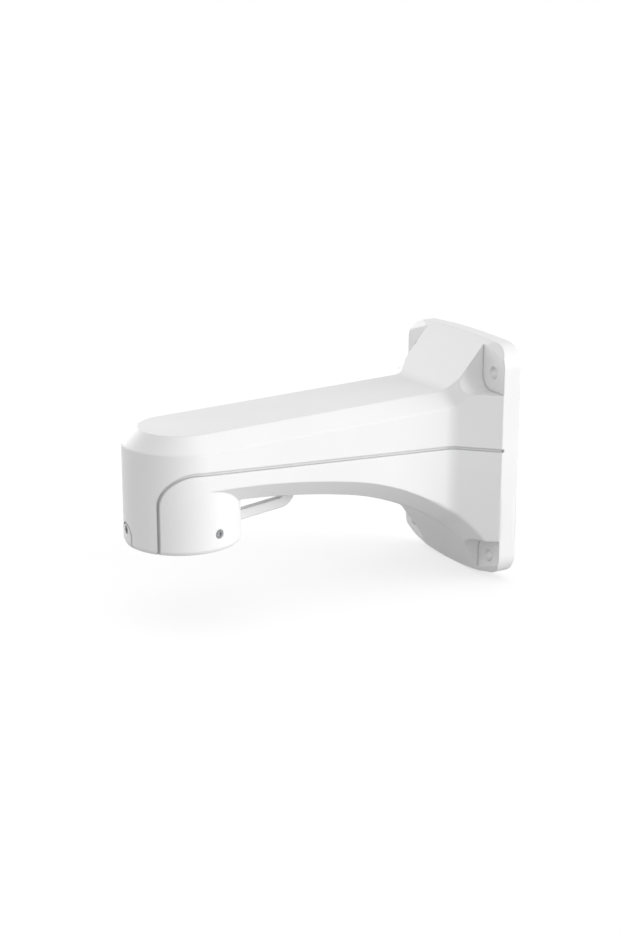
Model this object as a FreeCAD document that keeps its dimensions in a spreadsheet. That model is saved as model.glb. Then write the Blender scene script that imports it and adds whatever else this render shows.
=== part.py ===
import FreeCAD, Part
import math
import os

import Sketcher

# Wall bracket for a camera, one aluminium casting with three set screws in its collar.
# The origin is the centre of the four wall bolts on the plate's back face, the wall is the plane
# Y = 0, the arm runs along -Y and +Z is up.  Lengths are millimetres and angles are degrees.

SIZES = [
    # wall plate
    ("plate_width", 134.0),
    ("plate_thick", 15.2),
    ("plate_top", 98.65),
    ("plate_bottom", 94.35),
    ("plate_corner", 17.5),
    ("top_crown", 1.5),
    ("bottom_crown", 5.2),
    # bevels that carry the flare's top, its underside and its corners into the plate
    ("under_steep", 2.2),
    ("corner_high", 107.8),
    ("corner_low", 100.7),
    ("corner_fall", 0.326),
    ("corner_steep", 1.9),
    # hollow back of the plate
    ("rim_wall", 6.0),
    ("back_depth", 10.0),
    ("boss_radius", 9.5),
    # wall bolts
    ("bolt_side", 53.2),
    ("bolt_above", 74.05),
    ("bolt_below", 74.05),
    ("bolt_hole", 9.5),
    # arm
    ("collar_reach", 257.4),
    ("arm_top", 52.55),
    ("top_rise", 0.034),
    ("top_chamfer", 11.6),
    ("lower_chamfer", 13.5),
    ("wall", 4.0),
    # arched underside: three arcs from the collar to the plate
    ("arch_collar_low", 1.35),
    ("arch_middle_out", 140.0),
    ("arch_middle_low", 10.65),
    ("arch_flare_out", 50.0),
    ("arch_flare_low", 46.25),
    ("arch_plate_low", 87.65),
    ("arch_long_bend", 600.0),
    ("arch_bend", 220.0),
    ("arch_short_bend", 100.0),
    ("chamfer_out", 40.0),
    ("chamfer_low", 53.5),
    ("chamfer_blend", 32.0),
    ("chamfer_sweep", 361.0),
    # flare from the arm to the plate
    ("flare_out", 45.5),
    ("flare_top", 94.15),
    ("flare_blend", 5.2),
    # corner pockets that clear the wall bolts
    ("pocket_side", 39.2),
    ("pocket_above", 59.15),
    ("pocket_below", 59.35),
    ("pocket_corner", 12.0),
    # collar that takes the camera
    ("collar_radius", 43.5),
    ("collar_low", 34.1),
    ("collar_rim", 1.2),
    ("rim_high", 2.4),
    ("socket_radius", 37.0),
    ("socket_depth", 31.0),
    ("neck_radius", 33.0),
    # shadow groove along both sides
    ("groove_width", 2.4),
    ("groove_depth", 2.0),
    ("groove_high", 26.05),
    ("groove_fall", 0.0447),
    ("groove_bend", 24.0),
    ("groove_angle", 41.5),
    # tab round the front set screw, marked off by a groove of its own
    ("tab_half", 8.6),
    ("tab_rise", 4.3),
    ("tab_groove", 1.5),
    ("tab_depth", 1.3),
    # set screws
    ("screw_low", 21.1),
    ("front_drop", 1.3),
    ("screw_turn", -7.0),
    ("screw_angle", 110.0),
    ("screw_radius", 3.2),
    ("screw_length", 5.5),
    ("screw_socket", 3.0),
    ("screw_key", 1.0),
    ("screw_flush", 0.3),
    ("screw_play", 0.1),
    ("screw_sink", 0.6),
    # eye for the safety rope behind the collar
    ("eye_thick", 6.0),
    ("eye_drop", 20.15),
    ("eye_bar", 7.6),
    ("eye_rise", 0.12),
    ("eye_end", 171.0),
    ("eye_inner_bend", 7.5),
    ("eye_outer_bend", 14.0),
]

doc = FreeCAD.newDocument("bracket")
sheet = doc.addObject("Spreadsheet::Sheet", "sizes")
for row, (alias, value) in enumerate(SIZES, start=1):
    sheet.set("A%d" % row, alias)
    sheet.set("B%d" % row, str(value))
    sheet.setAlias("B%d" % row, alias)
doc.recompute()


def plane(body, role):
    """Return the body's own origin plane or axis with this role."""
    for feature in body.Origin.OriginFeatures:
        if feature.Role == role:
            return feature
    raise ValueError(role)


def make_body(name):
    return doc.addObject("PartDesign::Body", name)


def make_sketch(body, name, role, offset=None, shift=None):
    """Attach a sketch to an origin plane, moved off it by offset and along its first axis by shift."""
    sketch = body.newObject("Sketcher::SketchObject", name)
    sketch.AttachmentSupport = [(plane(body, role), "")]
    sketch.MapMode = "FlatFace"
    if offset:
        sketch.setExpression("AttachmentOffset.Base.z", offset)
    if shift:
        sketch.setExpression("AttachmentOffset.Base.x", shift)
    return sketch


def number(expression):
    """Work out an expression of the sheet's sizes."""
    value = sheet.evalExpression(expression)
    return float(getattr(value, "Value", value))


def pin(sketch, geometry, position, across, up):
    """Tie a point of the sketch to two expressions."""
    for kind, axis, expression in (("DistanceX", -2, across), ("DistanceY", -1, up)):
        if expression == "0":
            sketch.addConstraint(Sketcher.Constraint("PointOnObject", geometry, position, axis))
        else:
            index = sketch.addConstraint(
                Sketcher.Constraint(kind, -1, 1, geometry, position, number(expression)))
            sketch.setExpression("Constraints[%d]" % index, expression)


def outline(sketch, points, arcs=None):
    """Draw a closed outline.  arcs gives, for the side after a point, its radius and turn."""
    arcs = arcs or {}
    places = [FreeCAD.Vector(number(x), number(y), 0) for x, y in points]
    ends = []
    for i, start in enumerate(places):
        stop = places[(i + 1) % len(places)]
        if i not in arcs:
            line = sketch.addGeometry(Part.LineSegment(start, stop), False)
            ends.append((line, 1, line, 2))
            continue
        radius, turn = arcs[i]
        size = number(radius)
        chord = stop.sub(start)
        rise = math.sqrt(max(size * size - chord.Length ** 2 / 4.0, 0.0))
        across = FreeCAD.Vector(-chord.y, chord.x, 0).normalize()
        centre = start.add(stop).multiply(0.5).add(across.multiply(rise * turn))
        first, last = (start, stop) if turn > 0 else (stop, start)
        begin = math.atan2(first.y - centre.y, first.x - centre.x)
        finish = math.atan2(last.y - centre.y, last.x - centre.x)
        circle = Part.Circle(centre, FreeCAD.Vector(0, 0, 1), size)
        arc = sketch.addGeometry(Part.ArcOfCircle(circle, begin, finish), False)
        ends.append((arc, 1, arc, 2) if turn > 0 else (arc, 2, arc, 1))
        index = sketch.addConstraint(Sketcher.Constraint("Radius", arc, size))
        sketch.setExpression("Constraints[%d]" % index, radius)
    for i, (geometry, position, _, _) in enumerate(ends):
        _, _, before, end = ends[i - 1]
        sketch.addConstraint(Sketcher.Constraint("Coincident", before, end, geometry, position))
        pin(sketch, geometry, position, points[i][0], points[i][1])
    return sketch


def circles(sketch, centres, radius):
    """Draw one circle of the same radius round each centre."""
    for x, y in centres:
        centre = FreeCAD.Vector(number(x), number(y), 0)
        circle = Part.Circle(centre, FreeCAD.Vector(0, 0, 1), number(radius))
        geometry = sketch.addGeometry(circle, False)
        index = sketch.addConstraint(Sketcher.Constraint("Radius", geometry, number(radius)))
        sketch.setExpression("Constraints[%d]" % index, radius)
        pin(sketch, geometry, 3, x, y)
    return sketch


def extrude(body, kind, name, sketch, length, reverse=False, both=False, vector=None):
    """Pad or pocket a sketch by a length that follows the sheet, along its normal or a vector."""
    feature = body.newObject("PartDesign::" + kind, name)
    feature.Profile = sketch
    feature.setExpression("Length", length)
    feature.Reversed = reverse
    if both:
        feature.Midplane = True
    if vector:
        feature.UseCustomVector = True
        feature.Direction = FreeCAD.Vector(*[number(part) for part in vector])
        for axis, part in zip("xyz", vector):
            feature.setExpression("Direction." + axis, part)
        feature.AlongSketchNormal = True
    doc.recompute()
    return feature


def must_change(feature, before, grows):
    """Stop if a feature left the volume as it was."""
    change = feature.Shape.Volume - before
    if (change > 1.0) != grows or abs(change) < 1.0:
        raise RuntimeError("%s changed the volume by %.1f" % (feature.Name, change))
    return feature.Shape.Volume


casting = make_body("casting_body")

# The arm's three lines, seen from the side and from above.  Each runs straight from the collar,
# turns through a tangent arc of length flare_blend either side of flare_out, and ends at the plate.
HALF = "sizes.plate_width / 2"
WALL_SIDE = "-sizes.plate_thick"
BEND_ARM = "-sizes.flare_out - sizes.flare_blend"
FLARE_RUN = "(sizes.flare_out - sizes.plate_thick)"
TOP_AT_FLARE = "(sizes.arm_top + sizes.top_rise * (sizes.collar_reach - sizes.flare_out))"
TOP_AT_BEND = ("(sizes.arm_top + sizes.top_rise * "
               "(sizes.collar_reach - sizes.flare_out - sizes.flare_blend))")
SIDE_GROWTH = "(sizes.plate_width / 2 - sizes.collar_radius)"


def bend(corner, low, high):
    """Return the flare end and the radius of the arc between two slopes that meet at flare_out."""
    turn = "(atan(%s) - atan(%s))" % (high, low)
    along = "-sizes.flare_out + sizes.flare_blend * cos(atan(%s))" % high
    beside = "%s + sizes.flare_blend * sin(atan(%s))" % (corner, high)
    return along, beside, "sizes.flare_blend / tan(%s / 2)" % turn


top_slope = "((sizes.flare_top - %s) / %s)" % (TOP_AT_FLARE, FLARE_RUN)
side_slope = "(%s / %s)" % (SIDE_GROWTH, FLARE_RUN)
top_out, top_up, top_bend = bend(TOP_AT_FLARE, "sizes.top_rise", top_slope)
side_out, side_up, side_bend = bend("sizes.collar_radius", "0", side_slope)

# Side view: the top line, the plate's face and the arched underside in three arcs.
profile = make_sketch(casting, "side_profile", "YZ_Plane")
outline(profile, [
    ("-sizes.collar_reach", "sizes.arm_top"),
    (BEND_ARM, TOP_AT_BEND),
    (top_out, top_up),
    (WALL_SIDE, "sizes.flare_top"),
    (WALL_SIDE, "-sizes.arch_plate_low"),
    ("-sizes.arch_flare_out", "-sizes.arch_flare_low"),
    ("-sizes.arch_middle_out", "-sizes.arch_middle_low"),
    ("-sizes.collar_reach", "-sizes.arch_collar_low"),
], {1: (top_bend, 1), 4: ("sizes.arch_short_bend", 1), 5: ("sizes.arch_bend", 1),
    6: ("sizes.arch_long_bend", 1)})
arm = extrude(casting, "Pad", "arm", profile, "sizes.plate_width", both=True)
volume = must_change(arm, 0, True)

# Plan view: parallel sides that spread to the plate's width.
plan = make_sketch(casting, "side_lines", "XY_Plane")
for sign, turn in (("", -1), ("-", 1)):
    outline(plan, [
        (sign + "sizes.collar_radius", "-sizes.collar_reach - 20"),
        (sign + "sizes.collar_radius", BEND_ARM),
        (sign + "(%s)" % side_up, side_out),
        (sign + HALF, WALL_SIDE),
        (sign + "(sizes.plate_width / 2 + 20)", WALL_SIDE),
        (sign + "(sizes.plate_width / 2 + 20)", "-sizes.collar_reach - 20"),
    ], {1: (side_bend, turn)})
sides = extrude(casting, "Pocket", "arm_sides", plan, "4 * sizes.plate_top", both=True)
volume = must_change(sides, volume, False)

# Chamfers at 45 degrees along the arm and flare.  Each follows a line drawn on the middle plane,
# where the slanted face would reach it, and is cut sideways at 45 degrees.
TOP_ADD = "sizes.collar_radius - sizes.top_chamfer"
ridge_slope = "((sizes.flare_top + %s - %s) / %s)" % (SIDE_GROWTH, TOP_AT_FLARE, FLARE_RUN)
ridge_out, ridge_up, ridge_bend = bend(TOP_AT_FLARE, "sizes.top_rise", ridge_slope)
ridge = make_sketch(casting, "top_chamfer_line", "YZ_Plane")
outline(ridge, [
    ("-sizes.collar_reach - 20", "sizes.arm_top - 20 * sizes.top_rise + " + TOP_ADD),
    (BEND_ARM, TOP_AT_BEND + " + " + TOP_ADD),
    (ridge_out, ridge_up + " + " + TOP_ADD),
    (WALL_SIDE, "sizes.flare_top + sizes.plate_width / 2 - sizes.top_chamfer"),
    (WALL_SIDE, "4 * sizes.plate_top"),
    ("-sizes.collar_reach - 20", "4 * sizes.plate_top"),
], {1: (ridge_bend, 1)})

LOW_ADD = "(sizes.collar_radius - sizes.lower_chamfer)"
keel = make_sketch(casting, "lower_chamfer_line", "YZ_Plane")
outline(keel, [
    ("-sizes.collar_reach", "-sizes.arch_collar_low - " + LOW_ADD),
    ("-sizes.arch_middle_out", "-sizes.arch_middle_low - " + LOW_ADD),
    ("-sizes.arch_flare_out", "-sizes.arch_flare_low - " + LOW_ADD),
    ("-sizes.chamfer_out", "-sizes.chamfer_low - %s - %s * (sizes.flare_out - sizes.chamfer_out)"
     % (LOW_ADD, side_slope)),
    (WALL_SIDE, "-sizes.arch_plate_low - %s - %s" % (LOW_ADD, SIDE_GROWTH)),
    (WALL_SIDE, "-4 * sizes.plate_bottom"),
    ("-sizes.collar_reach - 20", "-4 * sizes.plate_bottom"),
    ("-sizes.collar_reach - 20", "-sizes.arch_collar_low - " + LOW_ADD),
], {0: ("sizes.arch_long_bend", -1), 1: ("sizes.arch_bend", -1), 
    2: ("sizes.chamfer_blend", -1), 3: ("sizes.chamfer_sweep", -1)})

for name, sketch, side, fall in (("top_chamfer_right", ridge, "1", "-1"),
                                 ("top_chamfer_left", ridge, "-1", "-1"),
                                 ("lower_chamfer_right", keel, "1", "1"),
                                 ("lower_chamfer_left", keel, "-1", "1")):
    cut = extrude(casting, "Pocket", name, sketch, HALF + " + 10", vector=(side, "0", fall))
    volume = must_change(cut, volume, False)

# Pockets in the flare's four corners, open to the front, with a rounded inner corner.
corners = make_sketch(casting, "corner_pockets", "XZ_Plane", offset="sizes.plate_thick")
for side, up, level, far in (("", 1, "sizes.pocket_above", "(sizes.plate_top + 30)"),
                             ("-", 1, "sizes.pocket_above", "(sizes.plate_top + 30)"),
                             ("", -1, "-sizes.pocket_below", "(-sizes.plate_bottom - 30)"),
                             ("-", -1, "-sizes.pocket_below", "(-sizes.plate_bottom - 30)")):
    turn = -up if side == "" else up
    outline(corners, [
        (side + "(sizes.plate_width / 2 + 10)", level),
        (side + "(sizes.pocket_side + sizes.pocket_corner)", level),
        (side + "sizes.pocket_side", "%s + %d * sizes.pocket_corner" % (level, up)),
        (side + "sizes.pocket_side", far),
        (side + "(sizes.plate_width / 2 + 10)", far),
    ], {1: ("sizes.pocket_corner", turn)})
pockets = extrude(casting, "Pocket", "corner_cuts", corners, "sizes.flare_out + 20", reverse=True)
volume = must_change(pockets, volume, False)

# Wall plate with rounded corners, its top and bottom edges slightly bowed.
TOP_SIDE = "(sizes.plate_top - sizes.top_crown)"
LOW_SIDE = "(sizes.plate_bottom - sizes.bottom_crown)"
CORNER_X = "(sizes.plate_width / 2 - sizes.plate_corner)"
bow = "(%s ^ 2 + %s ^ 2) / (2 * %s)"
plate_sketch = make_sketch(casting, "plate_outline", "XZ_Plane")
outline(plate_sketch, [
    (HALF, "-(%s - sizes.plate_corner)" % LOW_SIDE),
    (HALF, TOP_SIDE + " - sizes.plate_corner"),
    (CORNER_X, TOP_SIDE),
    ("-" + CORNER_X, TOP_SIDE),
    ("-" + HALF, TOP_SIDE + " - sizes.plate_corner"),
    ("-" + HALF, "-(%s - sizes.plate_corner)" % LOW_SIDE),
    ("-" + CORNER_X, "-" + LOW_SIDE),
    (CORNER_X, "-" + LOW_SIDE),
], {1: ("sizes.plate_corner", 1), 2: (bow % (CORNER_X, "sizes.top_crown", "sizes.top_crown"), 1),
    3: ("sizes.plate_corner", 1), 5: ("sizes.plate_corner", 1),
    6: (bow % (CORNER_X, "sizes.bottom_crown", "sizes.bottom_crown"), 1),
    7: ("sizes.plate_corner", 1)})
plate = extrude(casting, "Pad", "plate", plate_sketch, "sizes.plate_thick")
volume = must_change(plate, volume, True)

# The flare's top and its arched underside run on over the plate's front edges as bevels.
edges = make_sketch(casting, "plate_bevels", "YZ_Plane")
outline(edges, [
    (WALL_SIDE, "sizes.flare_top"),
    ("0", "sizes.flare_top + %s * sizes.plate_thick" % top_slope),
    ("0", "4 * sizes.plate_top"),
    (WALL_SIDE, "4 * sizes.plate_top"),
])
outline(edges, [
    (WALL_SIDE, "-sizes.arch_plate_low"),
    ("0", "-sizes.arch_plate_low - sizes.under_steep * sizes.plate_thick"),
    ("0", "-4 * sizes.plate_bottom"),
    (WALL_SIDE, "-4 * sizes.plate_bottom"),
])
bevels = extrude(casting, "Pocket", "edge_bevels", edges, "sizes.plate_width + 10", both=True)
volume = must_change(bevels, volume, False)

# Each corner of the plate has a wider bevel that falls away to the side.
high = make_sketch(casting, "upper_corner_bevel", "YZ_Plane")
outline(high, [
    (WALL_SIDE, "sizes.corner_high"),
    ("0", "sizes.corner_high + sizes.corner_steep * sizes.plate_thick"),
    ("0", "4 * sizes.plate_top"),
    (WALL_SIDE, "4 * sizes.plate_top"),
])
low = make_sketch(casting, "lower_corner_bevel", "YZ_Plane")
outline(low, [
    (WALL_SIDE, "-sizes.corner_low"),
    ("0", "-sizes.corner_low - sizes.corner_steep * sizes.plate_thick"),
    ("0", "-4 * sizes.plate_bottom"),
    (WALL_SIDE, "-4 * sizes.plate_bottom"),
])
for name, sketch, side, fall in (("upper_bevel_right", high, "1", "-sizes.corner_fall"),
                                 ("upper_bevel_left", high, "-1", "-sizes.corner_fall"),
                                 ("lower_bevel_right", low, "1", "sizes.corner_fall"),
                                 ("lower_bevel_left", low, "-1", "sizes.corner_fall")):
    cut = extrude(casting, "Pocket", name, sketch, HALF + " + 10", vector=(side, "0", fall))
    volume = must_change(cut, volume, False)


def turned(kind, name, points):
    """Turn a profile of radius and height round the collar's upright axis."""
    sketch = make_sketch(casting, name + "_profile", "YZ_Plane", shift="-sizes.collar_reach")
    outline(sketch, points)
    feature = casting.newObject("PartDesign::" + kind, name)
    feature.Profile = sketch
    feature.ReferenceAxis = (sketch, ["V_Axis"])
    feature.Angle = 360.0
    doc.recompute()
    return feature


# Collar: a round barrel, chamfered above like the arm, open below.
collar = turned("Revolution", "collar", [
    ("0", "-sizes.collar_low"),
    ("sizes.collar_radius - sizes.collar_rim", "-sizes.collar_low"),
    ("sizes.collar_radius", "-sizes.collar_low + sizes.rim_high"),
    ("sizes.collar_radius", "sizes.arm_top - sizes.top_chamfer"),
    ("sizes.collar_radius - sizes.top_chamfer", "sizes.arm_top"),
    ("0", "sizes.arm_top"),
])
volume = must_change(collar, volume, True)

# Cable way: a tall channel from the collar to the wall, and a wider one between the chamfers.
ARCH_ADD = "sizes.wall * 1.42"
channel_sketch = make_sketch(casting, "channel_profile", "YZ_Plane")
outline(channel_sketch, [
    ("-sizes.collar_reach", "sizes.arm_top - sizes.wall"),
    ("-sizes.flare_out", TOP_AT_FLARE + " - sizes.wall"),
    (WALL_SIDE, "sizes.flare_top - 1.5 * sizes.wall"),
    ("5", "sizes.flare_top - 1.5 * sizes.wall"),
    ("5", "-sizes.arch_plate_low + 2 * sizes.wall"),
    (WALL_SIDE, "-sizes.arch_plate_low + 2 * sizes.wall"),
    ("-sizes.arch_flare_out", "-sizes.arch_flare_low + " + ARCH_ADD),
    ("-sizes.arch_middle_out", "-sizes.arch_middle_low + sizes.wall"),
    ("-sizes.collar_reach", "-sizes.arch_collar_low + sizes.wall"),
], {5: ("sizes.arch_short_bend", 1), 6: ("sizes.arch_bend", 1), 7: ("sizes.arch_long_bend", 1)})
channel = extrude(casting, "Pocket", "channel", channel_sketch,
                  "2 * (sizes.collar_radius - sizes.lower_chamfer - 0.42 * sizes.wall)", both=True)
volume = must_change(channel, volume, False)

belly_sketch = make_sketch(casting, "belly_profile", "YZ_Plane")
BELLY_TOP = "sizes.top_chamfer - 0.42 * sizes.wall"
BELLY_LOW = "sizes.lower_chamfer + 0.42 * sizes.wall"
outline(belly_sketch, [
    ("-sizes.collar_reach + sizes.collar_radius / 2", "sizes.arm_top - " + BELLY_TOP),
    ("-sizes.flare_out", TOP_AT_FLARE + " - " + BELLY_TOP),
    ("5", TOP_AT_FLARE + " - " + BELLY_TOP),
    ("5", "-sizes.arch_flare_low + " + BELLY_LOW),
    ("-sizes.arch_flare_out", "-sizes.arch_flare_low + " + BELLY_LOW),
    ("-sizes.arch_middle_out", "-sizes.arch_middle_low + " + BELLY_LOW),
    ("-sizes.collar_reach + sizes.collar_radius / 2", "-sizes.arch_collar_low + " + BELLY_LOW),
], {4: ("sizes.arch_bend", 1), 5: ("sizes.arch_long_bend", 1)})
belly = extrude(casting, "Pocket", "belly", belly_sketch,
                "2 * (sizes.collar_radius - sizes.wall)", both=True)
volume = must_change(belly, volume, False)

# Hollow of the flare's wings, opened from the wall between the upper and the lower pockets.
WING_TOP = "(sizes.pocket_above - sizes.wall)"
WING_LOW = "(sizes.arch_flare_low - 2 * sizes.wall)"
wings = make_sketch(casting, "wing_hollows", "XY_Plane",
                    offset="(%s - %s) / 2" % (WING_TOP, WING_LOW))
for side in ("", "-"):
    outline(wings, [
        (side + "(sizes.collar_radius - sizes.wall - 2)", "-sizes.flare_out + 1.2 * sizes.wall"),
        (side + "(sizes.collar_radius - sizes.wall)", "-sizes.flare_out + 1.2 * sizes.wall"),
        (side + "(sizes.plate_width / 2 - sizes.rim_wall)",
         "-sizes.plate_thick + 0.4 * sizes.wall"),
        (side + "(sizes.plate_width / 2 - sizes.rim_wall)", "5"),
        (side + "(sizes.collar_radius - sizes.wall - 2)", "5"),
    ])
wing = extrude(casting, "Pocket", "wings", wings, "%s + %s" % (WING_TOP, WING_LOW), both=True)
volume = must_change(wing, volume, False)

# Back of the plate: a rim round a shallow recess, with a boss round each wall bolt.
RIM_X = "(sizes.plate_width / 2 - sizes.rim_wall)"
RIM_TOP = "(%s - sizes.rim_wall)" % TOP_SIDE
RIM_LOW = "(%s - sizes.rim_wall)" % LOW_SIDE
RIM_CORNER = "(sizes.plate_corner - sizes.rim_wall)"
recess_sketch = make_sketch(casting, "back_outline", "XZ_Plane")
outline(recess_sketch, [
    (RIM_X, "-(%s - %s)" % (RIM_LOW, RIM_CORNER)),
    (RIM_X, "%s - %s" % (RIM_TOP, RIM_CORNER)),
    ("%s - %s" % (RIM_X, RIM_CORNER), RIM_TOP),
    ("-(%s - %s)" % (RIM_X, RIM_CORNER), RIM_TOP),
    ("-" + RIM_X, "%s - %s" % (RIM_TOP, RIM_CORNER)),
    ("-" + RIM_X, "-(%s - %s)" % (RIM_LOW, RIM_CORNER)),
    ("-(%s - %s)" % (RIM_X, RIM_CORNER), "-" + RIM_LOW),
    ("%s - %s" % (RIM_X, RIM_CORNER), "-" + RIM_LOW),
], {1: (RIM_CORNER, 1), 3: (RIM_CORNER, 1), 5: (RIM_CORNER, 1), 7: (RIM_CORNER, 1)})
recess = extrude(casting, "Pocket", "back_recess", recess_sketch, "sizes.back_depth", reverse=True)
volume = must_change(recess, volume, False)

BOLTS = [(side + "sizes.bolt_side", height) for side in ("", "-")
         for height in ("sizes.bolt_above", "-sizes.bolt_below")]
boss_sketch = make_sketch(casting, "boss_circles", "XZ_Plane")
circles(boss_sketch, BOLTS, "sizes.boss_radius")
bosses = extrude(casting, "Pad", "bosses", boss_sketch, "sizes.back_depth + 0.5")
volume = must_change(bosses, volume, True)

bolt_sketch = make_sketch(casting, "bolt_circles", "XZ_Plane")
circles(bolt_sketch, BOLTS, "sizes.bolt_hole / 2")
bolts = extrude(casting, "Pocket", "bolt_holes", bolt_sketch, "sizes.plate_thick + 5",
                reverse=True)
volume = must_change(bolts, volume, False)

# Socket in the collar: the camera's neck seats against the shoulder, its cable goes on above.
socket = turned("Groove", "socket", [
    ("0", "-sizes.collar_low - 5"),
    ("sizes.socket_radius", "-sizes.collar_low - 5"),
    ("sizes.socket_radius", "-sizes.collar_low + sizes.socket_depth"),
    ("sizes.neck_radius", "-sizes.collar_low + sizes.socket_depth"),
    ("sizes.neck_radius", "sizes.arm_top - sizes.neck_radius + sizes.collar_radius"
     " - sizes.top_chamfer - 1.42 * sizes.wall"),
    ("sizes.collar_radius - sizes.top_chamfer - 0.42 * sizes.wall", "sizes.arm_top - sizes.wall"),
    ("0", "sizes.arm_top - sizes.wall"),
])
volume = must_change(socket, volume, False)

# Eye for the safety rope: a bar from the collar's rear wall that turns up into the arm.
EYE_START = "(sizes.collar_reach - sizes.collar_radius + 2)"
EYE_TOP = "(-(sizes.arch_collar_low + sizes.arch_middle_low) / 2 + sizes.wall / 2)"
EYE_LIFT = "(sizes.eye_rise * (%s - sizes.eye_end))" % EYE_START
eye_sketch = make_sketch(casting, "eye_profile", "YZ_Plane")
outline(eye_sketch, [
    ("-" + EYE_START, "-sizes.eye_drop"),
    ("-sizes.eye_end - 5.5", "-sizes.eye_drop + %s - 0.6" % EYE_LIFT),
    ("-sizes.eye_end", "-sizes.eye_drop + %s + 5.2" % EYE_LIFT),
    ("-sizes.eye_end + 2", EYE_TOP),
    ("-sizes.eye_end + 10", EYE_TOP),
    ("-sizes.eye_end + 6.6", "-sizes.eye_drop + %s - 1" % EYE_LIFT),
    ("-sizes.eye_end - 2.5", "-sizes.eye_drop + %s - 0.3 - sizes.eye_bar" % EYE_LIFT),
    ("-" + EYE_START, "-sizes.eye_drop - sizes.eye_bar"),
], {1: ("sizes.eye_inner_bend", 1), 5: ("sizes.eye_outer_bend", -1)})
eye = extrude(casting, "Pad", "rope_eye", eye_sketch, "sizes.eye_thick", both=True)
volume = must_change(eye, volume, True)

# Shadow groove: a band seen from the side, cut only to groove_depth below the outer faces.
groove = make_body("groove_tool")
WIDE = "sizes.groove_width / 2"
NARROW = "sizes.groove_width * sin(sizes.groove_angle * 1 deg) / 2"
FRONT = "(sizes.collar_reach + sizes.collar_radius * cos(sizes.groove_angle * 1 deg))"
BEND_Y = "(%s - sizes.groove_bend)" % FRONT
WALL_END = "(-sizes.plate_thick + %s)" % WIDE
WALL_HIGH = "(sizes.groove_high - sizes.groove_fall * (%s + %s))" % (BEND_Y, WALL_END)
band_sketch = make_sketch(groove, "band_profile", "YZ_Plane")
outline(band_sketch, [
    ("-" + BEND_Y, "sizes.groove_high + " + WIDE),
    ("-%s - %s" % (FRONT, NARROW), "sizes.groove_high - sizes.groove_bend"),
    ("-%s - %s" % (FRONT, NARROW), "-sizes.collar_low - 5"),
    ("-%s + %s" % (FRONT, NARROW), "-sizes.collar_low - 5"),
    ("-%s + %s" % (FRONT, NARROW), "sizes.groove_high - sizes.groove_bend"),
    ("-" + BEND_Y, "sizes.groove_high - " + WIDE),
    (WALL_END, WALL_HIGH + " - " + WIDE),
    (WALL_END, WALL_HIGH + " + " + WIDE),
], {0: ("sizes.groove_bend + (%s + %s) / 2" % (WIDE, NARROW), 1),
    4: ("sizes.groove_bend - (%s + %s) / 2" % (WIDE, NARROW), -1), 6: ("1.05 * " + WIDE, 1)})
band = extrude(groove, "Pad", "band", band_sketch, "sizes.plate_width + 10", both=True)
core_sketch = make_sketch(groove, "core_outline", "XY_Plane")
DEEP = "sizes.groove_depth"
outline(core_sketch, [
    ("sizes.collar_radius - " + DEEP, "-sizes.collar_reach"),
    ("sizes.collar_radius - " + DEEP, BEND_ARM),
    ("%s - %s" % (side_up, DEEP), side_out),
    ("%s - %s" % (HALF, DEEP), WALL_SIDE),
    ("%s - %s" % (HALF, DEEP), "10"),
    ("-(%s - %s)" % (HALF, DEEP), "10"),
    ("-(%s - %s)" % (HALF, DEEP), WALL_SIDE),
    ("-(%s - %s)" % (side_up, DEEP), side_out),
    ("-(sizes.collar_radius - %s)" % DEEP, BEND_ARM),
    ("-(sizes.collar_radius - %s)" % DEEP, "-sizes.collar_reach"),
    ("0", "-sizes.collar_reach - sizes.collar_radius + " + DEEP),
], {1: (side_bend, -1), 7: (side_bend, -1), 9: ("sizes.collar_radius - " + DEEP, 1),
    10: ("sizes.collar_radius - " + DEEP, 1)})
core = extrude(groove, "Pocket", "band_core", core_sketch, "4 * sizes.plate_top", both=True)
must_change(core, band.Shape.Volume, False)


def radial(thing, angle, inner, across="0", above="0"):
    """Lay a piece's axis along a radius of the collar, from radius inner, beside and above it."""
    ahead = "(({0}) * sin({1}) + ({2}) * cos({1}))"
    aside = "(-sizes.collar_reach - ({0}) * cos({1}) + ({2}) * sin({1}))"
    place = "vector(" + ahead + "; " + aside + "; -sizes.screw_low + ({3}))"
    turn = "rotation(vector(0; 0; 1); {1}) * rotation(vector(1; 0; 0); 90)"
    text = "placement(" + place + "; " + turn + ")"
    thing.setExpression("Placement", text.format(inner, angle, across, above))


# Tab of the front set screw: a groove in the shape of a slot with a round top, open below.
tab_tools = []
for name, half in (("outer", "(sizes.tab_half + sizes.tab_groove)"), ("inner", "sizes.tab_half")):
    arch = doc.addObject("Part::Cylinder", "tab_round_" + name)
    arch.setExpression("Radius", half)
    arch.setExpression("Height", "10")
    radial(arch, "sizes.screw_turn", "sizes.collar_radius - 5", "0",
           "sizes.tab_rise - sizes.tab_half - sizes.front_drop")
    leg = doc.addObject("Part::Box", "tab_leg_" + name)
    leg.setExpression("Length", "2 * " + half)
    leg.setExpression("Width", "sizes.collar_low")
    leg.setExpression("Height", "10")
    radial(leg, "sizes.screw_turn", "sizes.collar_radius - 5", "-" + half,
           "sizes.tab_rise - sizes.tab_half - sizes.front_drop - sizes.collar_low")
    whole = doc.addObject("Part::MultiFuse", "tab_" + name)
    whole.Shapes = [arch, leg]
    tab_tools.append(whole)
tab_ring = doc.addObject("Part::Cut", "tab_ring")
tab_ring.Base, tab_ring.Tool = tab_tools
tab_core = doc.addObject("Part::Cylinder", "tab_core")
tab_core.setExpression("Radius", "sizes.collar_radius - sizes.tab_depth")
tab_core.setExpression("Height", "2 * sizes.collar_low")
tab_core.setExpression("Placement", "placement(vector(0; -sizes.collar_reach;"
                       " -1.5 * sizes.collar_low); rotation(vector(0; 0; 1); 0))")
tab_cut = doc.addObject("Part::Cut", "tab_cut")
tab_cut.Base = tab_ring
tab_cut.Tool = tab_core

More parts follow.
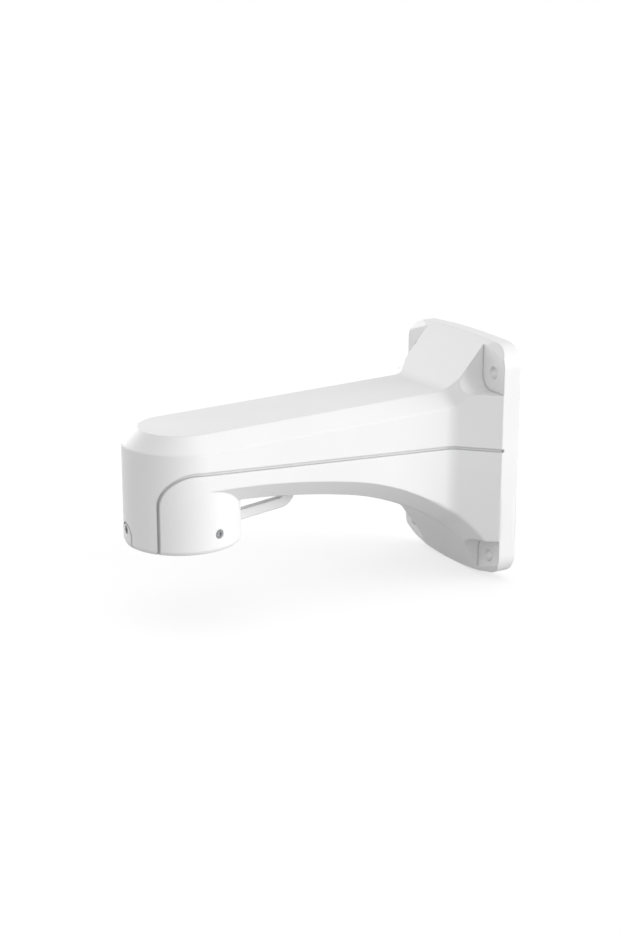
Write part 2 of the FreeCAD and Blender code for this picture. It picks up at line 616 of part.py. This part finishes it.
# Three set screws: one in front, two either side of the arm, flush with the collar.  Each hole is
# tapped through the collar's wall and countersunk outside.
SCREWS = [("front", "sizes.screw_turn", "-sizes.front_drop"),
          ("right", "sizes.screw_turn + sizes.screw_angle", "0"),
          ("left", "sizes.screw_turn - sizes.screw_angle", "0")]
HOLE = "sizes.screw_radius + sizes.screw_play"
TIP = "sizes.collar_radius - sizes.screw_flush - sizes.screw_length"
holes = [tab_cut]
screws = []
for name, angle, above in SCREWS:
    hole = doc.addObject("Part::Cylinder", "screw_hole_" + name)
    hole.setExpression("Radius", HOLE)
    hole.setExpression("Height", "sizes.collar_radius - sizes.socket_radius + 10")
    radial(hole, angle, "sizes.socket_radius - 5", "0", above)
    sink = doc.addObject("Part::Cone", "screw_sink_" + name)
    sink.setExpression("Radius1", HOLE)
    sink.setExpression("Radius2", HOLE + " + 2 * sizes.screw_sink")
    sink.setExpression("Height", "2 * sizes.screw_sink")
    radial(sink, angle, "sizes.collar_radius - sizes.screw_sink", "0", above)
    holes += [hole, sink]
    shank = doc.addObject("Part::Cylinder", "screw_shank_" + name)
    shank.setExpression("Radius", "sizes.screw_radius")
    shank.setExpression("Height", "sizes.screw_length")
    radial(shank, angle, TIP, "0", above)
    key = doc.addObject("Part::Prism", "screw_key_" + name)
    key.Polygon = 6
    key.setExpression("Circumradius", "sizes.screw_socket / sqrt(3)")
    key.setExpression("Height", "sizes.screw_length")
    radial(key, angle, TIP + " + sizes.screw_length - sizes.screw_key", "0", above)
    screw = doc.addObject("Part::Cut", "collar_set_screw_" + name)
    screw.Base = shank
    screw.Tool = key
    screws.append(screw)

tools = doc.addObject("Part::MultiFuse", "side_tools")
tools.Shapes = [groove] + holes
bracket = doc.addObject("Part::Cut", "bracket_casting")
bracket.Base = casting
bracket.Tool = tools
doc.recompute()

# Every object has to be up to date and every piece one valid solid before anything is written.
for thing in doc.Objects:
    if "Invalid" in thing.State or "Error" in thing.State:
        raise RuntimeError("%s failed: %s" % (thing.Name, thing.State))
pieces = [bracket] + screws
for piece in pieces:
    piece.Label = piece.Name
    shape = piece.Shape
    if shape.isNull() or not shape.isValid() or len(shape.Solids) != 1:
        raise RuntimeError("%s is not one valid solid" % piece.Label)

os.makedirs("parts", exist_ok=True)
for piece in pieces:
    piece.Shape.exportStep("parts/%s.step" % piece.Label)
    print("%s %.1f mm3" % (piece.Label, piece.Shape.Volume))
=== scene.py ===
import math

import bmesh
import bpy
from bpy.props import (
    FloatProperty,
    FloatVectorProperty,
    PointerProperty,
    StringProperty,
)
from bpy.types import Operator, Panel, PropertyGroup
from mathutils import Matrix, Vector


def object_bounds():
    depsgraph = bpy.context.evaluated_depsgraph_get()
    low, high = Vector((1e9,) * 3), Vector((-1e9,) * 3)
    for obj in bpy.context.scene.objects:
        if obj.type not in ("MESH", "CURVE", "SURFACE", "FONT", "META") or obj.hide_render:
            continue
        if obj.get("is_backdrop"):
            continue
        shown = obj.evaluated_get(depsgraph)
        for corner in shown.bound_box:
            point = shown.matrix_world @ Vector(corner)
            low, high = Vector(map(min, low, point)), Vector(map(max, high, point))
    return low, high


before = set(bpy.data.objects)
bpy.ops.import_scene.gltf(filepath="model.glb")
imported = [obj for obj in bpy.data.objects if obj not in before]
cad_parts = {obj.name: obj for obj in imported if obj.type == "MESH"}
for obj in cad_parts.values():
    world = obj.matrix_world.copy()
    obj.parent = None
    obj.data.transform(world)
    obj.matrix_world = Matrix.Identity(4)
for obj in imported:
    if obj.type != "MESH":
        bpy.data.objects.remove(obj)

bl_info = {
    "name": "Camera Wall Bracket",
    "version": (1, 0, 0),
    "blender": (4, 5, 0),
    "location": "View3D > Sidebar > Bracket",
    "description": "Dresses a cast wall bracket: powder coat, socket set screws and a studio",
    "category": "Object",
}

CASTING = "bracket_casting"
SCREWS = ("collar_set_screw_front", "collar_set_screw_right", "collar_set_screw_left")

# Where the casting's edges are rounder: an axis, where the change starts and where it is full.
TOP_EDGES = (("Z", 0.034, 0.038), ("Y", -0.044, -0.052))
FLARE_CORNER = (("Z", -0.020, -0.028), ("Z", -0.060, -0.054), ("Y", -0.190, -0.180))

# Lamps: the name, the place, the point it faces, the size and the setting with its power.
ARM = (0.0, -0.15, 0.0)
COLLAR = (0.0, -0.257, 0.0)
LAMPS = (
    ("right_light", (0.38, -0.36, 0.02), COLLAR, (0.25, 0.25), "right_power"),
    ("back_light", (1.90, 2.20, 0.25), ARM, (2.6, 2.0), "back_power"),
    ("left_light", (-2.90, -0.60, 0.60), ARM, (2.6, 2.0), "left_power"),
)

# Sockets of a colour mix go by number, since each name stands for several kinds of value.
MIX_A, MIX_B, MIX_COLOUR = 6, 7, 2

WHITE = (1.0, 1.0, 1.0, 1.0)
PAINTED_LIGHT_SEARCH = {"samples": 12, "only_local": True}
EDGE_SEARCH = {"samples": 6}


def linear(text):
    """Turn an sRGB hex value into the linear colour that the shader takes."""
    channels = [int(text[i:i + 2], 16) / 255.0 for i in (1, 3, 5)]
    shades = [c / 12.92 if c <= 0.04045 else ((c + 0.055) / 1.055) ** 2.4 for c in channels]
    return (*shades, 1.0)


def add_node(tree, kind, settings=None, values=None, links=None):
    """Add a node with its settings, its unlinked values and the sockets that feed it."""
    node = tree.nodes.new(kind)
    for name, value in (settings or {}).items():
        setattr(node, name, value)
    for name, value in (values or {}).items():
        node.inputs[name].default_value = value
    for name, socket in (links or {}).items():
        tree.links.new(socket, node.inputs[name])
    return node


def new_material(name):
    """Make an empty node material and return it with its tree."""
    material = bpy.data.materials.new(name)
    material.use_nodes = True
    material.node_tree.nodes.clear()
    return material, material.node_tree


def zone(tree, axes, limits):
    """Return a socket that is one inside these limits and fades to zero outside them."""
    inside = None
    for axis, outer, inner in limits:
        ramp = add_node(tree, "ShaderNodeMapRange",
                        values={"From Min": outer, "From Max": inner},
                        links={"Value": axes.outputs[axis]})
        if inside is None:
            inside = ramp.outputs["Result"]
            continue
        both = add_node(tree, "ShaderNodeMath", {"operation": "MULTIPLY"},
                        links={0: ramp.outputs["Result"], 1: inside})
        inside = both.outputs["Value"]
    return inside


def powder_coat(coat):
    """White polyester powder coat, sprayed on a die casting and baked."""
    material, tree = new_material("white_powder_coat")
    place = add_node(tree, "ShaderNodeTexCoord")
    # Baked powder flows into a faint orange peel, about 1.6 mm from crest to crest.
    peel = add_node(tree, "ShaderNodeTexNoise",
                    values={"Scale": 1.0 / coat.peel_size, "Detail": 2.0, "Roughness": 0.45},
                    links={"Vector": place.outputs["Object"]})
    # The casting under it waves a little over some 40 mm, which shows in the soft highlights.
    wave = add_node(tree, "ShaderNodeTexNoise",
                    values={"Scale": 1.0 / coat.wave_size, "Detail": 1.0, "Roughness": 0.4},
                    links={"Vector": place.outputs["Object"]})
    shade = add_node(tree, "ShaderNodeMix", {"data_type": "RGBA"},
                     {MIX_A: linear(coat.low_shade), MIX_B: linear(coat.high_shade)},
                     {"Factor": wave.outputs["Fac"]})
    # Painted shade: the coat's colour turns darker grey in narrow grooves and inner corners, where
    # shade falls.
    painted_light_mask = add_node(tree, "ShaderNodeAmbientOcclusion", PAINTED_LIGHT_SEARCH,
                    {"Distance": coat.painted_crease_reach})
    coat_with_painted_shade = add_node(tree, "ShaderNodeMix", {"data_type": "RGBA"},
                     {MIX_A: linear(coat.painted_crease_shade)},
                     {"Factor": painted_light_mask.outputs["AO"], MIX_B: shade.outputs[MIX_COLOUR]})
    gloss = add_node(tree, "ShaderNodeMapRange",
                     values={"To Min": coat.roughness - coat.roughness_spread,
                             "To Max": coat.roughness + coat.roughness_spread},
                     links={"Value": peel.outputs["Fac"]})
    # Die-cast corners aren't sharp and the coat rounds them more, so edges catch a soft light.
    # The arm's top and the flare's lower corner are rounder than the rest.
    axes = add_node(tree, "ShaderNodeSeparateXYZ", links={"Vector": place.outputs["Object"]})
    top = add_node(tree, "ShaderNodeMath", {"operation": "MULTIPLY_ADD"},
                   {1: coat.top_round, 2: coat.edge_radius},
                   {0: zone(tree, axes, TOP_EDGES)})
    radius = add_node(tree, "ShaderNodeMath", {"operation": "MULTIPLY_ADD"},
                      {1: coat.flare_round},
                      {0: zone(tree, axes, FLARE_CORNER), 2: top.outputs["Value"]})
    edge = add_node(tree, "ShaderNodeBevel", EDGE_SEARCH,
                    links={"Radius": radius.outputs["Value"]})
    skin = add_node(tree, "ShaderNodeBump",
                    values={"Strength": 0.12, "Distance": coat.peel_depth},
                    links={"Height": peel.outputs["Fac"], "Normal": edge.outputs["Normal"]})
    body = add_node(tree, "ShaderNodeBump",
                    values={"Strength": 0.25, "Distance": coat.wave_depth},
                    links={"Height": wave.outputs["Fac"], "Normal": skin.outputs["Normal"]})
    shader = add_node(tree, "ShaderNodeBsdfPrincipled",
                      values={"IOR": 1.5, "Metallic": 0.0},
                      links={"Base Color": coat_with_painted_shade.outputs[MIX_COLOUR],
                             "Roughness": gloss.outputs["Result"],
                             "Normal": body.outputs["Normal"]})
    add_node(tree, "ShaderNodeOutputMaterial", links={"Surface": shader.outputs["BSDF"]})
    return material


def stainless(finish):
    """Stainless steel, cold headed and tumbled, as on small socket set screws."""
    material, tree = new_material("stainless_set_screw")
    place = add_node(tree, "ShaderNodeTexCoord")
    # Tumbling leaves a fine grain, drawn at 0.4 mm, coarser than the real one, so that it shows.
    grain = add_node(tree, "ShaderNodeTexNoise",
                     values={"Scale": 1.0 / finish.grain_size, "Detail": 3.0, "Roughness": 0.6},
                     links={"Vector": place.outputs["Object"]})
    rough = add_node(tree, "ShaderNodeMapRange", values={"To Min": 0.45, "To Max": 0.6},
                     links={"Value": grain.outputs["Fac"]})
    shade = add_node(tree, "ShaderNodeMix", {"data_type": "RGBA"},
                     {MIX_A: linear(finish.dark_steel), MIX_B: linear(finish.pale_steel)},
                     {"Factor": grain.outputs["Fac"]})
    # Painted light: the key's broached recess is coloured paler than the ends, to lift the shade
    # deep in it.
    painted_light_mask = add_node(tree, "ShaderNodeAmbientOcclusion", PAINTED_LIGHT_SEARCH,
                    {"Distance": finish.painted_recess_reach})
    outside = add_node(tree, "ShaderNodeMapRange", values={"From Min": 0.60, "From Max": 0.95},
                       links={"Value": painted_light_mask.outputs["AO"]})
    steel = add_node(tree, "ShaderNodeMix", {"data_type": "RGBA"},
                     {MIX_A: linear(finish.painted_recess_light)},
                     {"Factor": outside.outputs["Result"], MIX_B: shade.outputs[MIX_COLOUR]})
    shader = add_node(tree, "ShaderNodeBsdfPrincipled", values={"Metallic": 1.0},
                      links={"Base Color": steel.outputs[MIX_COLOUR],
                             "Roughness": rough.outputs["Result"]})
    add_node(tree, "ShaderNodeOutputMaterial", links={"Surface": shader.outputs["BSDF"]})
    return material


def studio_paper(studio):
    """Pale seamless paper.  It keeps shadows and shows as near white to the camera."""
    material, tree = new_material("seamless_paper")
    rays = add_node(tree, "ShaderNodeLightPath")
    seen = add_node(tree, "ShaderNodeMath", {"operation": "MAXIMUM"},
                    links={0: rays.outputs["Is Camera Ray"], 1: rays.outputs["Is Glossy Ray"]})
    clear = add_node(tree, "ShaderNodeMath", {"operation": "MAXIMUM"},
                     links={0: seen.outputs["Value"],
                            1: rays.outputs["Is Transmission Ray"]})
    paper = add_node(tree, "ShaderNodeBsdfDiffuse", values={"Color": linear(studio.paper)})
    # The lamps' light thins out with the distance, and the glow grows as much, so that the
    # sheet stays just white to the camera and only the object's shadow shows on it.
    place = add_node(tree, "ShaderNodeTexCoord")
    away = add_node(tree, "ShaderNodeVectorMath", {"operation": "LENGTH"},
                    links={0: place.outputs["Object"]})
    fill = add_node(tree, "ShaderNodeMapRange",
                    values={"From Min": studio.glow_start, "From Max": studio.glow_end,
                            "To Min": studio.glow_near, "To Max": studio.glow_far},
                    links={"Value": away.outputs["Value"]})
    glow = add_node(tree, "ShaderNodeEmission", values={"Color": WHITE},
                    links={"Strength": fill.outputs["Result"]})
    both = add_node(tree, "ShaderNodeAddShader",
                    links={0: paper.outputs["BSDF"], 1: glow.outputs["Emission"]})
    mix = add_node(tree, "ShaderNodeMixShader",
                   links={0: clear.outputs["Value"], 1: paper.outputs["BSDF"],
                          2: both.outputs["Shader"]})
    add_node(tree, "ShaderNodeOutputMaterial", links={"Surface": mix.outputs["Shader"]})
    return material


def dress(obj, material):
    """Give every material slot of an object the same finish."""
    if not obj.material_slots:
        obj.data.materials.append(material)
    for slot in obj.material_slots:
        slot.material = material


class BracketCoat(PropertyGroup):
    low_shade: StringProperty(
        name="Low shade", description="sRGB value of the coat where it looks deeper",
        default="#e2e2e2")
    high_shade: StringProperty(
        name="High shade", description="sRGB value of the coat where it looks lighter",
        default="#e7e7e7")
    # Painted shade: the grey painted into grooves and inner corners, and how far from a corner it
    # reaches.
    painted_crease_shade: StringProperty(
        name="Nook shade", description="sRGB value of the thin coat deep in grooves and corners",
        default="#9c9c9c")
    painted_crease_reach: FloatProperty(
        name="Nook reach", description="How far from an inner corner the coat stays thin",
        default=0.0017, min=0.0005, max=0.02, unit="LENGTH")
    roughness: FloatProperty(
        name="Roughness", description="Mean roughness of the baked powder",
        default=0.46, min=0.05, max=1.0, subtype="FACTOR")
    roughness_spread: FloatProperty(
        name="Roughness spread", description="How much the roughness varies about its mean",
        default=0.03, min=0.0, max=0.2, subtype="FACTOR")
    peel_size: FloatProperty(
        name="Orange peel", description="Distance between the crests of the coat's texture",
        default=0.0016, min=0.0002, max=0.01, unit="LENGTH")
    peel_depth: FloatProperty(
        name="Orange peel depth", description="Height of the crests of the coat's texture",
        default=0.00003, min=0.0, max=0.001, unit="LENGTH")
    wave_size: FloatProperty(
        name="Casting waves", description="Distance between the slow waves of the casting",
        default=0.04, min=0.005, max=0.2, unit="LENGTH")
    wave_depth: FloatProperty(
        name="Casting wave depth", description="Height of the slow waves of the casting",
        default=0.0002, min=0.0, max=0.002, unit="LENGTH")
    edge_radius: FloatProperty(
        name="Edge radius", description="How far the coat softens the light on the casting's edges",
        default=0.0014, min=0.0, max=0.01, unit="LENGTH")
    top_round: FloatProperty(
        name="Top rounding", description="How much rounder the edges along the arm's top are",
        default=0.0008, min=0.0, max=0.01, unit="LENGTH")
    flare_round: FloatProperty(
        name="Flare rounding", description="How much rounder the flare's lower corner is",
        default=0.0040, min=0.0, max=0.01, unit="LENGTH")


class BracketSteel(PropertyGroup):
    dark_steel: StringProperty(
        name="Dark steel", description="sRGB value of the screws' darker grain",
        default="#6c6d6f")
    pale_steel: StringProperty(
        name="Pale steel", description="sRGB value of the screws' lighter grain",
        default="#959698")
    # Painted light: the paler colour painted in the key's recess, and how far from its walls it
    # reaches.
    painted_recess_light: StringProperty(
        name="Recess steel", description="sRGB value of the key's broached recess",
        default="#b2b2b4")
    painted_recess_reach: FloatProperty(
        name="Recess reach", description="How far from its walls the recess stays bright",
        default=0.0015, min=0.0002, max=0.01, unit="LENGTH")
    grain_size: FloatProperty(
        name="Grain", description="Distance between the grains that tumbling leaves",
        default=0.0004, min=0.0001, max=0.005, unit="LENGTH")


class BracketStudio(PropertyGroup):
    camera_place: FloatVectorProperty(
        name="Camera", description="Where the camera stands", size=3, unit="LENGTH",
        default=(1.150917, -0.812052, 0.391480))
    camera_azimuth: FloatProperty(
        name="Azimuth", description="Angle of the view about the upright axis",
        default=math.radians(59.986), subtype="ANGLE")
    camera_elevation: FloatProperty(
        name="Elevation", description="Height of the camera as an angle over the horizon",
        default=math.radians(16.182), subtype="ANGLE")
    lens: FloatProperty(
        name="Lens", description="Focal length on a 36 mm sensor's long side",
        default=69.60, unit="CAMERA")
    floor_drop: FloatProperty(
        name="Floor drop", description="Gap between the plate's lowest point and the floor",
        default=0.0005, min=0.0, unit="LENGTH")
    floor_radius: FloatProperty(
        name="Floor radius", description="Radius of the round sheet of studio paper",
        default=9.0, min=1.0, unit="LENGTH")
    world_strength: FloatProperty(
        name="Sky light", description="Strength of the even light from all round",
        default=0.82, min=0.0)
    right_power: FloatProperty(
        name="Right light", description="Power of the small soft light close to the collar",
        default=0.222, min=0.0, unit="POWER")
    back_power: FloatProperty(
        name="Back light", description="Power of the wide soft light behind at the right",
        default=109.0, min=0.0, unit="POWER")
    left_power: FloatProperty(
        name="Left light", description="Power of the wide soft light at the left",
        default=49.6, min=0.0, unit="POWER")
    paper: StringProperty(
        name="Paper", description="sRGB value of the studio paper", default="#a8a8a8")
    glow_start: FloatProperty(
        name="Glow start", description="Distance at which the paper's glow starts to grow",
        default=0.5, min=0.0, unit="LENGTH")
    glow_end: FloatProperty(
        name="Glow end", description="Distance at which the paper's glow is full",
        default=4.5, min=0.0, unit="LENGTH")
    glow_near: FloatProperty(
        name="Near glow", description="Strength of the paper's glow at the object",
        default=0.615, min=0.0)
    glow_far: FloatProperty(
        name="Far glow", description="Strength of the paper's glow far from the object",
        default=0.695, min=0.0)


class BRACKET_OT_casting(Operator):
    """Coat the casting with white powder"""
    bl_idname = "bracket.casting"
    bl_label = "Coat the casting"

    def execute(self, context):
        dress(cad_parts[CASTING], powder_coat(context.scene.bracket_coat))
        return {"FINISHED"}


class BRACKET_OT_screws(Operator):
    """Finish the collar's set screws in stainless steel"""
    bl_idname = "bracket.screws"
    bl_label = "Finish the set screws"

    def execute(self, context):
        steel = stainless(context.scene.bracket_steel)
        for name in SCREWS:
            dress(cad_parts[name], steel)
        return {"FINISHED"}


class BRACKET_OT_stage(Operator):
    """Lay the studio paper and set the lights and the camera"""
    bl_idname = "bracket.stage"
    bl_label = "Set the stage"

    def execute(self, context):
        scene = context.scene
        studio = scene.bracket_studio
        low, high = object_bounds()
        self.floor(scene, studio, low[2] - studio.floor_drop)
        self.sky(scene, studio)
        for name, place, target, size, power in LAMPS:
            self.lamp(scene, name, place, target, size, getattr(studio, power))
        self.camera(scene, studio)
        scene.view_settings.view_transform = "Standard"
        return {"FINISHED"}

    def floor(self, scene, studio, height):
        """A round sheet of paper just under the plate."""
        mesh = bpy.data.meshes.new("studio_floor")
        paper = bmesh.new()
        bmesh.ops.create_circle(paper, cap_ends=True, segments=96, radius=studio.floor_radius,
                                matrix=Matrix.Translation((ARM[0], ARM[1], height)))
        paper.to_mesh(mesh)
        paper.free()
        floor = bpy.data.objects.new("studio_floor", mesh)
        scene.collection.objects.link(floor)
        floor.data.materials.append(studio_paper(studio))
        floor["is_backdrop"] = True

    def sky(self, scene, studio):
        """White to the camera, a plain even light to everything else."""
        world = bpy.data.worlds.new("studio_sky")
        scene.world = world
        world.use_nodes = True
        tree = world.node_tree
        tree.nodes.clear()
        rays = add_node(tree, "ShaderNodeLightPath")
        seen = add_node(tree, "ShaderNodeMath", {"operation": "MAXIMUM"},
                        links={0: rays.outputs["Is Camera Ray"],
                               1: rays.outputs["Is Transmission Ray"]})
        light = add_node(tree, "ShaderNodeBackground",
                         values={"Color": WHITE, "Strength": studio.world_strength})
        white = add_node(tree, "ShaderNodeBackground",
                         values={"Color": WHITE, "Strength": 1.0})
        mix = add_node(tree, "ShaderNodeMixShader",
                       links={0: seen.outputs["Value"], 1: light.outputs["Background"],
                              2: white.outputs["Background"]})
        add_node(tree, "ShaderNodeOutputWorld", links={"Surface": mix.outputs["Shader"]})

    def lamp(self, scene, name, place, target, size, power):
        """A soft light, of this size in metres, that points at a target."""
        lamp = bpy.data.lights.new(name, "AREA")
        lamp.shape = "RECTANGLE"
        lamp.size, lamp.size_y = size
        lamp.energy = power
        light = bpy.data.objects.new(name, lamp)
        aim = Vector(target) - Vector(place)
        light.matrix_world = (Matrix.Translation(place)
                              @ aim.to_track_quat("-Z", "Y").to_matrix().to_4x4())
        scene.collection.objects.link(light)

    def camera(self, scene, studio):
        """Stand the camera where the picture was taken from."""
        data = bpy.data.cameras.new("picture_camera")
        data.lens = studio.lens
        data.sensor_width = 36.0
        data.sensor_fit = "AUTO"
        data.clip_start = 0.05
        data.clip_end = 50.0
        camera = bpy.data.objects.new("picture_camera", data)
        turn = (Matrix.Rotation(studio.camera_azimuth, 4, "Z")
                @ Matrix.Rotation(math.radians(90.0) - studio.camera_elevation, 4, "X"))
        camera.matrix_world = Matrix.Translation(studio.camera_place) @ turn
        scene.collection.objects.link(camera)
        scene.camera = camera


class BRACKET_PT_sidebar(Panel):
    bl_label = "Camera Wall Bracket"
    bl_idname = "BRACKET_PT_sidebar"
    bl_space_type = "VIEW_3D"
    bl_region_type = "UI"
    bl_category = "Bracket"

    def draw(self, context):
        for group in GROUPS:
            settings = getattr(context.scene, group)
            box = self.layout.box()
            for name in settings.bl_rna.properties.keys():
                if name not in ("rna_type", "name"):
                    box.prop(settings, name)
        for operator in OPERATORS:
            self.layout.operator(operator.bl_idname)


GROUPS = {
    "bracket_coat": BracketCoat,
    "bracket_steel": BracketSteel,
    "bracket_studio": BracketStudio,
}
OPERATORS = (BRACKET_OT_casting, BRACKET_OT_screws, BRACKET_OT_stage)
CLASSES = (*GROUPS.values(), *OPERATORS, BRACKET_PT_sidebar)


def register():
    for cls in CLASSES:
        bpy.utils.register_class(cls)
    for name, cls in GROUPS.items():
        setattr(bpy.types.Scene, name, PointerProperty(type=cls))


def unregister():
    for name in GROUPS:
        delattr(bpy.types.Scene, name)
    for cls in reversed(CLASSES):
        bpy.utils.unregister_class(cls)


def main():
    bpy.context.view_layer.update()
    register()
    bpy.ops.bracket.casting()
    bpy.ops.bracket.screws()
    bpy.ops.bracket.stage()


if __name__ == "__main__":
    main()
